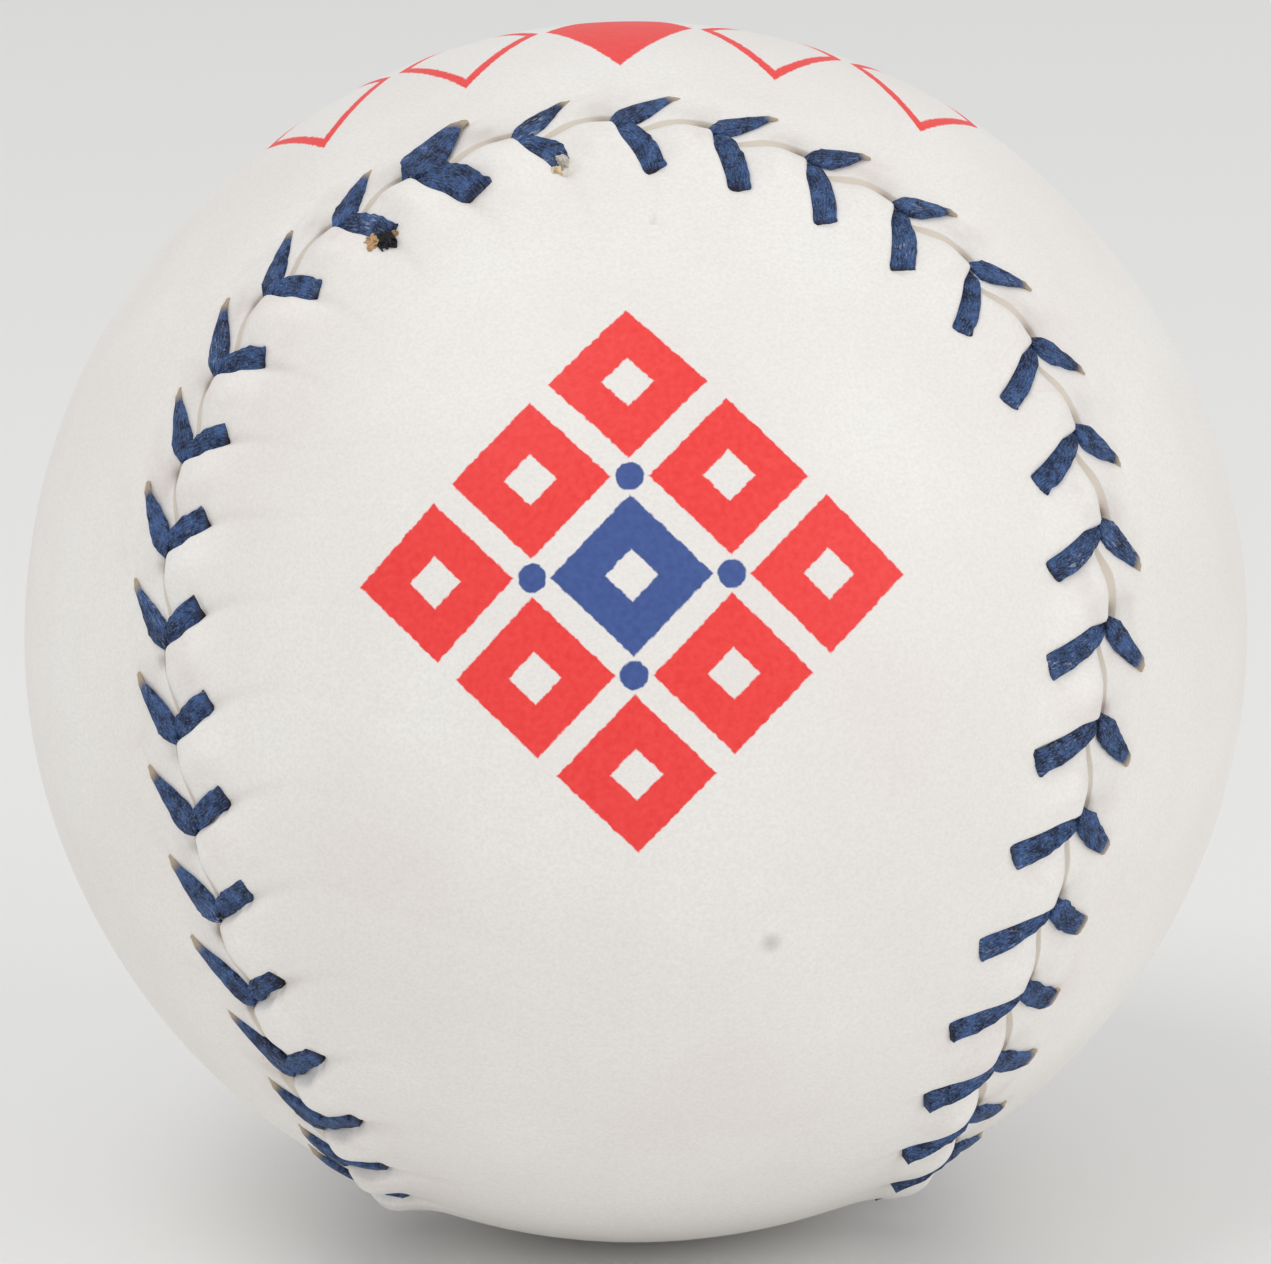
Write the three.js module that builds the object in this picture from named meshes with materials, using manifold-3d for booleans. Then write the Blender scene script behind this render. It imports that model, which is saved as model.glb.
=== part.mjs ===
// A hand-sewn rounders ball: a cork core, two windings, and a cover of two figure-eight
// leather panels laced together by two needle threads in a V-shaped ball stitch.
// Millimetres, +Z up, origin at the centre of the ball. The front lobe faces -Y.

import * as THREE from 'three';
import { mergeVertices } from 'three/addons/utils/BufferGeometryUtils.js';
import Module from 'manifold-3d';

const wasm = await Module();
wasm.setup();

// The ball and its seam
const BALL_DIAMETER = 60.5;
const SEAM_PEAK_DEG = 64.4; // how far above and below the equator the seam swings
const SEAM_SWING_DEG = 21.9; // how far it leans sideways to round the lobes and narrow the necks
const SEAM_GAP = 0.8; // between the two cut edges

// The leather
const LEATHER_THICKNESS = 1.8;
const EDGE_ROLL_WIDTH = 1.0; // strip along the cut edge that is drawn down into the seam
const EDGE_ROLL_DROP = 0.3;
const SKIVE_MARGIN = 1.0; // thinned leather beyond the row of holes
const SKIVE_RAMP = 1.4; // from thinned to full thickness

// The sewing
const LOBE_STITCHES = 18; // from the top of one lobe to the top of the next
const LOWER_HOLE_ADVANCE = 2.3; // from the point of a V to the hole of its leg, along the seam
const LOWER_HOLE_REACH = 3.3; // and across it
const UPPER_HOLE_ADVANCE = 2.8;
const UPPER_HOLE_REACH = 2.8;
const VERTEX_SPREAD = 1.5; // between the two legs where they dive into the seam
const THREAD_THICKNESS = 0.45;
const LEG_WIDTH = 1.6; // in the middle of a leg
const HOLE_THREAD_WIDTH = 1.0; // the same ribbon drawn together in a hole
const SEAM_THREAD_WIDTH = 0.7; // and in the seam
const TURN_REACH = 1.1; // how far it passes under the facing edge before it turns to the next hole
const BREAK_LENGTH = 1.6; // between a thread's two ends, under the leather
const START_STITCH = -2; // counted from the top of the front lobe
const STARTING_KNOT_STITCH = -1;
const FINISHING_KNOT_STITCH = -3;
const KNOT_LENGTH = 1.8;
const KNOT_WIDTH = 1.3;
const KNOT_HEIGHT = 0.9;

// The inside
const CORE_DIAMETER = 32;
const STRING_THICKNESS = 2.2;
const YARN_HOLE_DIAMETER = 1.6; // where the tail of a winding is drawn in

// Clearances
const COVER_CLEARANCE = 0.3;
const LAYER_CLEARANCE = 0.3;
const THREAD_CLEARANCE = 0.15;
const HOLE_CLEARANCE = 0.2;
const KNOT_CLEARANCE = 0.3;

// Facets
const SEAM_SAMPLES = 720;
const OUTER_STEPS = 8; // across the middle of a panel, outside
const INNER_STEPS = 6; // and inside
const BALL_DETAIL = 3;
const KNOT_SEGMENTS = 8;
const YARN_HOLE_SIDES = 8;
const MERGE_TOLERANCE = 1e-4;

const UPPER = 1; // left of the seam's direction of travel
const LOWER = -1;
const HOLE = {
  [UPPER]: { advance: UPPER_HOLE_ADVANCE, reach: UPPER_HOLE_REACH },
  [LOWER]: { advance: LOWER_HOLE_ADVANCE, reach: LOWER_HOLE_REACH },
};

const ballRadius = BALL_DIAMETER / 2;
const windingRadius = ballRadius - LEATHER_THICKNESS - COVER_CLEARANCE;

// The seam is one closed wave on the sphere. Its parameter starts at the top of the front lobe.
function seamDirection(turn) {
  const t = turn + Math.PI / 4;
  const elevation = THREE.MathUtils.degToRad(SEAM_PEAK_DEG) * Math.sin(2 * t);
  const sway = THREE.MathUtils.degToRad(SEAM_SWING_DEG) * Math.sin(4 * t);
  const longitude = turn - sway - Math.PI / 2;
  return new THREE.Vector3(
    Math.cos(elevation) * Math.cos(longitude),
    Math.cos(elevation) * Math.sin(longitude),
    Math.sin(elevation),
  );
}

const seamPoints = [];
const seamLengths = [0];
for (let i = 0; i <= SEAM_SAMPLES; i += 1) {
  seamPoints.push(seamDirection((2 * Math.PI * i) / SEAM_SAMPLES));
  if (i > 0) {
    seamLengths.push(seamLengths[i - 1] + ballRadius * seamPoints[i].angleTo(seamPoints[i - 1]));
  }
}
const seamLength = seamLengths[SEAM_SAMPLES];
const stitchCount = 4 * LOBE_STITCHES;
const pitch = seamLength / stitchCount;

// Outward, along and to the left at a distance along the seam.
function seamFrame(along) {
  const wrapped = THREE.MathUtils.euclideanModulo(along, seamLength);
  let low = 0;
  let high = SEAM_SAMPLES;
  while (high - low > 1) {
    const middle = (low + high) >> 1;
    if (seamLengths[middle] <= wrapped) low = middle;
    else high = middle;
  }
  const share = (wrapped - seamLengths[low]) / (seamLengths[high] - seamLengths[low]);
  const step = (2 * Math.PI) / SEAM_SAMPLES;
  const turn = (low + share) * step;
  const out = seamDirection(turn);
  const forward = seamDirection(turn + step).sub(seamDirection(turn - step));
  forward.addScaledVector(out, -forward.dot(out)).normalize();
  return { out, forward, left: out.clone().cross(forward) };
}

// The direction of a spot on the ball, a distance along the seam and a distance to its left.
function spotDirection(along, across) {
  const { out, left } = seamFrame(along);
  const angle = across / ballRadius;
  return out.multiplyScalar(Math.cos(angle)).addScaledVector(left, Math.sin(angle));
}

function spot(along, across, radius) {
  return spotDirection(along, across).multiplyScalar(radius);
}

function chordSag(length, radius) {
  return radius - Math.sqrt(radius ** 2 - (length / 2) ** 2);
}

// The thread's route: up a hole, over the leather in a leg, down the seam and under the facing
// edge, where it turns and runs forward to the next hole.
const longestReach = Math.max(LOWER_HOLE_REACH, UPPER_HOLE_REACH);
const longestAdvance = Math.max(LOWER_HOLE_ADVANCE, UPPER_HOLE_ADVANCE);
const runLength = Math.hypot(pitch + longestAdvance + VERTEX_SPREAD / 2, longestReach - TURN_REACH);
const skiveWidth = longestReach + THREAD_THICKNESS / 2 + HOLE_CLEARANCE + SKIVE_MARGIN;
const channelDepth = THREAD_THICKNESS + 2 * THREAD_CLEARANCE
  + chordSag(runLength, ballRadius) + chordSag(skiveWidth, ballRadius);
const edgeThickness = LEATHER_THICKNESS + COVER_CLEARANCE - channelDepth;
const legRadius = ballRadius + THREAD_CLEARANCE + THREAD_THICKNESS / 2;
const diveRadius = legRadius - EDGE_ROLL_DROP;
const runRadius = ballRadius - edgeThickness - chordSag(skiveWidth, ballRadius)
  - THREAD_CLEARANCE - THREAD_THICKNESS / 2;

function solidFromTriangles(corners) {
  const geometry = new THREE.BufferGeometry();
  const numbers = corners.flatMap((corner) => corner.toArray());
  geometry.setAttribute('position', new THREE.Float32BufferAttribute(numbers, 3));
  const solid = withoutCollapsed(mergeVertices(geometry, MERGE_TOLERANCE));
  solid.computeVertexNormals();
  return solid;
}

function withoutCollapsed(geometry) {
  const kept = [];
  const index = geometry.index.array;
  for (let i = 0; i < index.length; i += 3) {
    const [a, b, c] = index.slice(i, i + 3);
    if (a !== b && b !== c && c !== a) kept.push(a, b, c);
  }
  geometry.setIndex(kept);
  return geometry;
}

function toManifold(geometry) {
  const bare = geometry.clone();
  bare.deleteAttribute('normal');
  bare.deleteAttribute('uv');
  const merged = withoutCollapsed(mergeVertices(bare, MERGE_TOLERANCE));
  return new wasm.Manifold(new wasm.Mesh({
    numProp: 3,
    vertProperties: new Float32Array(merged.attributes.position.array),
    triVerts: new Uint32Array(merged.index.array),
  }));
}

function fromManifold(solid) {
  const mesh = solid.getMesh();
  const geometry = new THREE.BufferGeometry();
  geometry.setAttribute('position', new THREE.BufferAttribute(mesh.vertProperties, 3));
  geometry.setIndex(new THREE.BufferAttribute(mesh.triVerts, 1));
  geometry.computeVertexNormals();
  return geometry;
}

function piece(name, geometry, color, roughness) {
  const material = new THREE.MeshStandardMaterial({ color, roughness, metalness: 0 });
  const mesh = new THREE.Mesh(geometry, material);
  mesh.name = name;
  return mesh;
}

// Points from one edge of a panel to the other, in even steps on a great circle.
function rib(from, to, steps) {
  const width = from.angleTo(to);
  const axis = from.clone().cross(to).normalize();
  const points = [from];
  for (let i = 1; i < steps; i += 1) {
    points.push(from.clone().applyAxisAngle(axis, (i * width) / steps));
  }
  return [...points, to];
}

// A leather panel. Its border has one cell with one hole a stitch, and its middle is lofted
// over ribs that join mirrored points of the border, from one lobe's tip to the other's.
function coverPanel(side, tip) {
  const corners = [];
  const quad = (a, b, c, d) => {
    if (side === UPPER) corners.push(a, b, c, a, c, d);
    else corners.push(a, c, b, a, d, c);
  };
  const at = (along, fromSeam, radius) => spot(along, side * fromSeam, radius);
  const line = (fromEdge, radius) => {
    const points = [];
    for (let k = 0; k < stitchCount; k += 1) {
      points.push(at(k * pitch, SEAM_GAP / 2 + fromEdge, radius));
    }
    return (k) => points[THREE.MathUtils.euclideanModulo(k, stitchCount)];
  };
  const thinRadius = ballRadius - edgeThickness;
  const edge = line(0, ballRadius - EDGE_ROLL_DROP);
  const roll = line(EDGE_ROLL_WIDTH, ballRadius);
  const border = line(skiveWidth, ballRadius);
  const fleshEdge = line(0, thinRadius);
  const fleshSkive = line(skiveWidth, thinRadius);
  const fleshFull = line(skiveWidth + SKIVE_RAMP, ballRadius - LEATHER_THICKNESS);

  const halfLong = HOLE_THREAD_WIDTH / 2 + HOLE_CLEARANCE;
  const halfWide = THREAD_THICKNESS / 2 + HOLE_CLEARANCE;
  for (let k = 0; k < stitchCount; k += 1) {
    const along = k * pitch + HOLE[side].advance;
    const rim = (radius) => [[-1, -1], [1, -1], [1, 1], [-1, 1]].map(([u, v]) => (
      at(along + u * halfLong, HOLE[side].reach + v * halfWide, radius)
    ));
    const top = rim(ballRadius);
    const bottom = rim(thinRadius);
    const cell = [roll(k), roll(k + 1), border(k + 1), border(k)];
    const fleshCell = [fleshEdge(k), fleshEdge(k + 1), fleshSkive(k + 1), fleshSkive(k)];
    for (let i = 0; i < 4; i += 1) {
      const j = (i + 1) % 4;
      quad(cell[i], cell[j], top[j], top[i]);
      quad(top[i], top[j], bottom[j], bottom[i]);
      quad(bottom[i], bottom[j], fleshCell[j], fleshCell[i]);
    }
    quad(edge(k), edge(k + 1), roll(k + 1), roll(k));
    quad(edge(k + 1), edge(k), fleshEdge(k), fleshEdge(k + 1));
    quad(fleshSkive(k + 1), fleshSkive(k), fleshFull(k), fleshFull(k + 1));
  }

  const tipStitch = tip * LOBE_STITCHES;
  for (let i = 0; i < stitchCount / 2; i += 1) {
    const ribAt = (points, k, steps) => rib(points(tipStitch + k), points(tipStitch - k), steps);
    const grain = [ribAt(border, i, OUTER_STEPS), ribAt(border, i + 1, OUTER_STEPS)];
    for (let j = 0; j < OUTER_STEPS; j += 1) {
      quad(grain[0][j], grain[1][j], grain[1][j + 1], grain[0][j + 1]);
    }
    const flesh = [ribAt(fleshFull, i, INNER_STEPS), ribAt(fleshFull, i + 1, INNER_STEPS)];
    for (let j = 0; j < INNER_STEPS; j += 1) {
      quad(flesh[0][j], flesh[0][j + 1], flesh[1][j + 1], flesh[1][j]);
    }
  }
  return solidFromTriangles(corners);
}

// Where a stitch's leg comes up through its hole, dives into the seam and turns beneath it.
function stitchRoute(stitch, side) {
  const vertex = stitch * pitch;
  const hole = { along: vertex + HOLE[side].advance, across: side * HOLE[side].reach };
  const dive = { along: vertex - (side * VERTEX_SPREAD) / 2, across: 0 };
  const turn = { along: dive.along, across: -side * TURN_REACH };
  return { hole, dive, turn };
}

// Outward, and away from the seam on one side of it.
function sideFrame({ along, across }, side) {
  const out = spotDirection(along, across);
  const { forward } = seamFrame(along);
  const away = out.clone().cross(forward).multiplyScalar(side).normalize();
  return { out, away };
}

// Four corners of the ribbon, from its half width and its half thickness to its outer face.
function ribbonRing(centre, halfWidth, halfThickness, turned) {
  const ring = [[1, 1], [-1, 1], [-1, -1], [1, -1]].map(([w, n]) => (
    centre.clone().addScaledVector(halfWidth, w).addScaledVector(halfThickness, n)
  ));
  return turned ? [...ring.slice(2), ...ring.slice(0, 2)] : ring;
}

function middleOf(a, b, share) {
  return {
    along: THREE.MathUtils.lerp(a.along, b.along, share),
    across: THREE.MathUtils.lerp(a.across, b.across, share),
  };
}

// Outward, and the ribbon's width, part of the way from one place on its route to the next.
function stretchFrame(from, to, share) {
  const here = middleOf(from, to, share);
  const out = spotDirection(here.along, here.across);
  const way = spotDirection(to.along, to.across).sub(spotDirection(from.along, from.across));
  return { out, width: way.cross(out).normalize() };
}

// The rings of one stitch. The ribbon turns its other face out on every second stitch.
function stitchRings(stitch, side, turned) {
  const { hole, dive, turn } = stitchRoute(stitch, side);
  const nextHole = stitchRoute(stitch + 1, -side).hole;
  const half = THREAD_THICKNESS / 2;
  const atHole = sideFrame(hole, side);
  const holeWidth = atHole.out.clone().cross(atHole.away).multiplyScalar(HOLE_THREAD_WIDTH / 2);
  const holeBend = (lift) => (
    atHole.away.clone().addScaledVector(atHole.out, lift).multiplyScalar(half)
  );
  const leg = stretchFrame(hole, dive, 0.5);
  const legWidth = leg.width.multiplyScalar(LEG_WIDTH / 2);
  const atDive = sideFrame(dive, -side);
  const seamWidth = atDive.away.clone().cross(atDive.out).multiplyScalar(SEAM_THREAD_WIDTH / 2);
  const seamBend = atDive.out.clone().add(atDive.away).multiplyScalar(half);
  const run = stretchFrame(turn, nextHole, 0);
  const turnWidth = run.width.multiplyScalar(SEAM_THREAD_WIDTH / 2).add(seamWidth);
  turnWidth.setLength(SEAM_THREAD_WIDTH / 2);
  const ring = (direction, radius, width, thickness) => (
    ribbonRing(direction.clone().multiplyScalar(radius), width, thickness, turned)
  );
  return [
    ring(atHole.out, runRadius, holeWidth, holeBend(-1)),
    ring(atHole.out, legRadius, holeWidth, holeBend(1)),
    ring(leg.out, legRadius, legWidth, leg.out.clone().multiplyScalar(half)),
    ring(atDive.out, diveRadius, seamWidth, seamBend),
    ring(atDive.out, runRadius, seamWidth, seamBend),
    ring(run.out, runRadius, turnWidth, run.out.clone().multiplyScalar(half)),
  ];
}

// A ring part of the way along a run, where a thread starts or ends.
function tailRing(turn, hole, share, turned) {
  const { out, width } = stretchFrame(turn, hole, share);
  const radius = runRadius - chordSag(runLength, ballRadius) / 2;
  return ribbonRing(
    out.clone().multiplyScalar(radius),
    width.multiplyScalar(SEAM_THREAD_WIDTH / 2),
    out.multiplyScalar(THREAD_THICKNESS / 2),
    turned,
  );
}

// One needle's thread: it sews the two panels in turn, once round the seam.
function sewingThread(firstSide) {
  const sideAt = (count) => (count % 2 === 0 ? firstSide : -firstSide);
  const rings = [];
  const before = stitchRoute(START_STITCH - 1, -firstSide).turn;
  const firstHole = stitchRoute(START_STITCH, firstSide).hole;
  const breakShare = BREAK_LENGTH / runLength;
  rings.push(tailRing(before, firstHole, 0.5 + breakShare / 2, true));
  for (let count = 0; count < stitchCount; count += 1) {
    rings.push(...stitchRings(START_STITCH + count, sideAt(count), count % 2 === 1));
  }
  const last = START_STITCH + stitchCount - 1;
  const lastSide = sideAt(stitchCount - 1);
  const lastTurn = stitchRoute(last, lastSide).turn;
  const nextHole = stitchRoute(last + 1, -lastSide).hole;
  rings.push(tailRing(lastTurn, nextHole, 0.5 - breakShare / 2, true));

  const corners = [];
  const quad = (a, b, c, d) => corners.push(a, b, c, a, c, d);
  for (let i = 0; i + 1 < rings.length; i += 1) {
    for (let j = 0; j < 4; j += 1) {
      const k = (j + 1) % 4;
      quad(rings[i][k], rings[i][j], rings[i + 1][j], rings[i + 1][k]);
    }
  }
  const [first, end] = [rings[0], rings.at(-1)];
  quad(...first);
  quad(...end.toReversed());
  return solidFromTriangles(corners);
}

// The tied end of a thread, lying just beyond the hole of a lower leg.
function knot(stitch) {
  const { hole } = stitchRoute(stitch, LOWER);
  const { out, away } = sideFrame(hole, LOWER);
  const bead = new THREE.SphereGeometry(0.5, KNOT_SEGMENTS, KNOT_SEGMENTS - 2);
  bead.scale(KNOT_WIDTH, KNOT_LENGTH, KNOT_HEIGHT);
  const place = new THREE.Matrix4().makeBasis(away, out.clone().cross(away), out);
  const beyond = THREAD_THICKNESS / 2 + KNOT_CLEARANCE + KNOT_WIDTH / 2;
  const seat = out.clone().multiplyScalar(ballRadius).addScaledVector(away, beyond);
  place.setPosition(seat.setLength(ballRadius + THREAD_CLEARANCE + KNOT_HEIGHT / 2));
  return bead.applyMatrix4(place);
}

function ball(radius) {
  return new THREE.IcosahedronGeometry(radius, BALL_DETAIL);
}

// A wound layer, with the hole in which the tail of its yarn was drawn.
function winding(outside, inside) {
  const tailHole = new THREE.CylinderGeometry(
    YARN_HOLE_DIAMETER / 2,
    YARN_HOLE_DIAMETER / 2,
    2 * (outside - inside),
    YARN_HOLE_SIDES,
  );
  tailHole.rotateX(Math.PI / 2).translate(0, 0, (outside + inside) / 2);
  const shell = toManifold(ball(outside)).subtract(toManifold(ball(inside)));
  return fromManifold(shell.subtract(toManifold(tailHole)));
}

const stringInside = windingRadius - STRING_THICKNESS;
const woolOutside = stringInside - LAYER_CLEARANCE;
const woolInside = CORE_DIAMETER / 2 + LAYER_CLEARANCE;

const roundersBall = new THREE.Group();
roundersBall.name = 'rounders_ball';
roundersBall.add(
  piece('cork_core', ball(CORE_DIAMETER / 2), 0xa9784b, 0.9),
  piece('wool_winding', winding(woolOutside, woolInside), 0xb9b2a4, 0.95),
  piece('string_winding', winding(windingRadius, stringInside), 0xe6dfcd, 0.95),
  piece('lower_cover_panel', coverPanel(LOWER, 0), 0xe8e3df, 0.5),
  piece('upper_cover_panel', coverPanel(UPPER, 1), 0xe8e3df, 0.5),
  piece('first_sewing_thread', sewingThread(LOWER), 0x42526f, 0.8),
  piece('second_sewing_thread', sewingThread(UPPER), 0x42526f, 0.8),
  piece('starting_knot', knot(STARTING_KNOT_STITCH), 0xcfc3b0, 0.8),
  piece('finishing_knot', knot(FINISHING_KNOT_STITCH), 0x3a332e, 0.8),
);

export default roundersBall;
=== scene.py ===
# A hand-sewn rounders ball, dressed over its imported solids. Lengths are millimetres until a mesh is
# made from them. Places on the cover are a distance along the seam, from the top of the front lobe,
# a distance across it, positive on the upper panel, and a height over the leather's plain sphere.

import math

import bpy
import numpy as np
from mathutils import Matrix, Vector


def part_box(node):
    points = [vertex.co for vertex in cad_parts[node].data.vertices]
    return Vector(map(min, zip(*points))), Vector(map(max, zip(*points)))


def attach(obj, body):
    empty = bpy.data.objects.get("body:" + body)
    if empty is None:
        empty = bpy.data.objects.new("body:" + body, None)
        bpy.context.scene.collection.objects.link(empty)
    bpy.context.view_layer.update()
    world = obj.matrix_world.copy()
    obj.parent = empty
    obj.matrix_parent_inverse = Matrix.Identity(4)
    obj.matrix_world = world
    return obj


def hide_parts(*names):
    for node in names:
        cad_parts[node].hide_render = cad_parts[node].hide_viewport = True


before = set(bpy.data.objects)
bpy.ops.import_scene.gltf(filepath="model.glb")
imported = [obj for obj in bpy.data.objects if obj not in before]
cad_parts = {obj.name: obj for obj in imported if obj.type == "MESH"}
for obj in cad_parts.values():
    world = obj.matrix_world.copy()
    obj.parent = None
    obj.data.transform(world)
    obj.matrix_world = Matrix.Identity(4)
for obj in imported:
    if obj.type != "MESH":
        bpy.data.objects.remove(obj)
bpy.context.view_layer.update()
scene = bpy.context.scene

MM = 0.001
BALL_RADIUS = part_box("upper_cover_panel")[1].z / MM
UPPER, LOWER = 1, -1

# The seam and its stitches. A stitch is a V: its point lies on the seam and its legs lead ahead.
SEAM_PEAK_DEG = 64.4
SEAM_SWING_DEG = 21.9
STITCHES = 72
HOLE_ADVANCE = {UPPER: 2.6, LOWER: 1.75}  # from the point of a V to the hole of its leg, along the seam
HOLE_REACH = {UPPER: 2.65, LOWER: 2.85}  # and across it
ADVANCE_PULL = {UPPER: -0.65, LOWER: 0.15}  # how these change with the sewer's pull round the seam
REACH_PULL = {UPPER: 0.0, LOWER: 0.50}
PULL_SHIFT = 0.3  # radians, from the pull's middle to the top of the front lobe
# Where the sewer's hand strays: a stitch, how many stitches to each side, and how far
SPACING_STRAYS = ((-3, 3.5, -0.55), (-13, 5.0, 0.5), (-2, 0.6, -0.45))
SEAM_STRAYS = ((-3, 1.8, 0.5), (-11.5, 1.6, 0.8))
ADVANCE_STRAYS = {
    UPPER: ((6.3, 1.0, -0.40), (9, 0.6, -0.25), (12, 1.9, -1.05), (-14.5, 1.1, -0.9)),
    LOWER: ((-12, 3.5, -0.45), (-4.5, 2.2, -0.40), (13.5, 1.8, -0.5)),
}
REACH_STRAYS = {
    UPPER: ((-8, 2.5, -0.35), (7.8, 1.3, 0.40), (13, 1.5, 0.3), (-14.5, 1.1, -0.7)),
    LOWER: ((1, 2.5, 0.3), (11.5, 2.2, 0.42), (-5.5, 2.2, -0.36)),
}
ROOT_STRAYS = ((-11, 4.0, 0.30), (-13, 1.4, -0.55))
TILT_STRAYS = ((14.5, 2.0, 0.38),)
WIDTH_STRAYS = {
    UPPER: ((13, 4.0, 0.12), (4, 3.5, -0.06), (-13, 3.0, 0.22), (-6.5, 3.0, -0.04)),
    LOWER: ((14, 4.0, 0.26), (-5, 4.0, 0.12), (-3, 0.7, 0.15), (0.5, 2.5, 0.25)),
}
BLUNT_STRAYS = ((11.5, 2.2, 1.0), (7.5, 1.0, 0.4))
SPACING_SHIFT = 0.08
START_STITCH = -2
STARTING_KNOT_STITCH = -1
FINISHING_KNOT_STITCH = -3

# The leather round the stitches. A phase is a share of the pitch, from one leg to the next.
BORDER_REACH = 7.0  # how far from the seam the stitches still shape the leather
LEATHER_THICKNESS = 1.8
EDGE_THICKNESS = 1.0  # where it is thinned along the seam
TRENCH_ROOT = {UPPER: 0.35, LOWER: 0.15}  # where the middle of a leg's trench meets the seam
TRENCH_DEPTH = {UPPER: 0.06, LOWER: 0.34}
# A trench steps down behind a leg and rises slowly ahead of it
TRENCH_PHASES = {UPPER: (-0.20, -0.10, 0.20), LOWER: (-0.185, -0.095, 0.17)}
TRENCH_END = 0.3  # it rises past the end of the leg
PUFF_HEIGHT = {UPPER: 0.03, LOWER: 0.62}  # how far the leather swells between two legs
PUFF_PHASES = {UPPER: (0.25, 0.55, 0.60, 0.85), LOWER: (0.0, 0.60, 0.79, 0.91)}
# How far a swelling's corner by the seam keeps back from the next leg, and how the pull changes that
CORNER_SHIFT, CORNER_PULL = -0.04, -0.02
CORNER_REACH = 1.2
END_CORNER = 0.03  # and how far it lies over the rear corner of a leg's end
PUFF_REACH = 1.0  # where the swelling is fullest, from the seam
PUFF_SPREAD = 2.1
DOME_HEIGHT = {UPPER: 0.0, LOWER: 0.28}  # how far its middle rounds up over that
DOME_PHASE = 0.52
DOME_REACH = 1.8
DOME_SIZE = (1.15, 1.15)  # along the seam and across it
LIP_WIDTH = {UPPER: 0.12, LOWER: 1.1}  # how the leather rounds into the seam
LIP_DROP = {UPPER: 0.03, LOWER: 0.64}
LIP_LEAST = 0.25  # the share of that drop where a leg draws the edge in
EDGE_SETBACK = 0.55  # the lower edge from the seam's middle, where the legs draw it in
EDGE_SWELL = 0.60  # how far a swelling pushes it out again
EDGE_TIGHT = 0.65  # the share of that where the lacing is tight
EDGE_PHASES = (0.06, 0.66, 0.91, 1.0)
EDGE_FADE = 3.0
GAP_NARROW, GAP_WIDE = 0.12, 0.74  # between the two edges, where the lacing is tight and where it is open
GAP_OPENING = (0.3, 2.1)  # from where to where it opens, ahead of a leg
GAP_OVERLAP = 0.14  # how far the upper panel's raw edge runs on under the lower one
# Where the lacing is open
OPEN_STRAYS = (
    (1.5, 7.5, 1.0), (7.2, 1.0, 0.6), (10, 0.7, 0.3), (13.5, 2.0, 0.55), (-13.5, 2.0, 1.2), (38, 7.5, 1.0),
)
CREASE_DEPTH = {UPPER: 0.01, LOWER: 0.36}  # the draw lines beyond the holes
CREASE_WIDTH = 0.36
CREASE_SHIFT = 0.07  # a share of the pitch, back from the middle of the leg
CREASE_START = 0.3  # they set in before the hole
CREASE_FADE = 1.8
# How much the draw lines are darkened with painted shade
CREASE_PAINTED_SHADE = {UPPER: 0.0, LOWER: 0.18}
HOLE_DIMPLE = 0.08
DIMPLE_SIZE = (0.75, 0.3)  # along the seam and across it
TIGHT_RAWNESS = 0.7  # how much of a cut edge's tan shows where the lacing is tight
# A darker spot at each V's point: some of the thread's dye, and painted shade where the thread dives into the
# seam
DYE_SHADE_PLACE = (-0.8, 0.2)  # ahead of a V's point and across
DYE_SHADE_WIDTH = 0.42
# A wider, fainter painted shade behind an upper leg, with some dye
HALO_PLACE = (-1.1, 1.1)  # a wider, fainter spot behind an upper leg
HALO_WIDTH = 0.9
HALO_SHARE = 0.16
DYE_SHADE_TIGHT = 0.3  # the share of that darkening, dye and painted shade, where the lacing is tight
LUMP_HEIGHT = 0.05  # the windings felt through the leather
LUMP_WAVES = 14
LUMP_FREQUENCIES = (4, 11)
LUMP_SEED = 11
# The rows up a panel's cut edge, as panel_rows has them, but with depths as shares of the thinned leather
EDGE_PROFILE = {
    UPPER: ((0.2, 0, 1, 1), (0, 1, 0.45, 1), (0, 0.6, 0.20, 1), (0, 0.05, 0.06, 1)),
    LOWER: ((0.55, 0, 1, 1), (0.25, 0, 0.55, 1), (0.15, 0, 0.40, 0.2)),
}
SKIVE_WIDTH = 1.4  # over which the leather thins towards the seam
FLESH_REACH = 2.5  # the flesh side's last row before the cut edge

# The thread. A leg is a bent ribbon from its root in the seam to its hole, with widths at shares of it.
LEG_ROOT = {UPPER: (-0.55, 0.02), LOWER: (-0.48, -0.06)}
LEG_BEND = {UPPER: (0.58, 0.18), LOWER: (0.92, 1.00)}
BEND_PULL = {UPPER: (-0.07, 0.23), LOWER: (-0.06, 0.10)}
LEG_WIDTHS = {
    UPPER: (
        (0, 0.10), (0.08, 0.38), (0.18, 0.76), (0.30, 1.16), (0.40, 1.28),
        (0.52, 1.19), (0.72, 0.82), (0.86, 0.44), (1, 0.22),
    ),
    LOWER: (
        (0, 0.15), (0.10, 0.50), (0.25, 0.94), (0.35, 1.02),
        (0.60, 1.12), (0.88, 1.20), (0.95, 1.26), (1, 1.32),
    ),
}
LEG_HEIGHT = {UPPER: 0.10, LOWER: -0.02}
LEG_TILT = {UPPER: 0.0, LOWER: 0.42}  # the slope that a leg lies on, up ahead
TILT_LIFT = 0.4  # how far more of it lifts a leg
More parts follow.
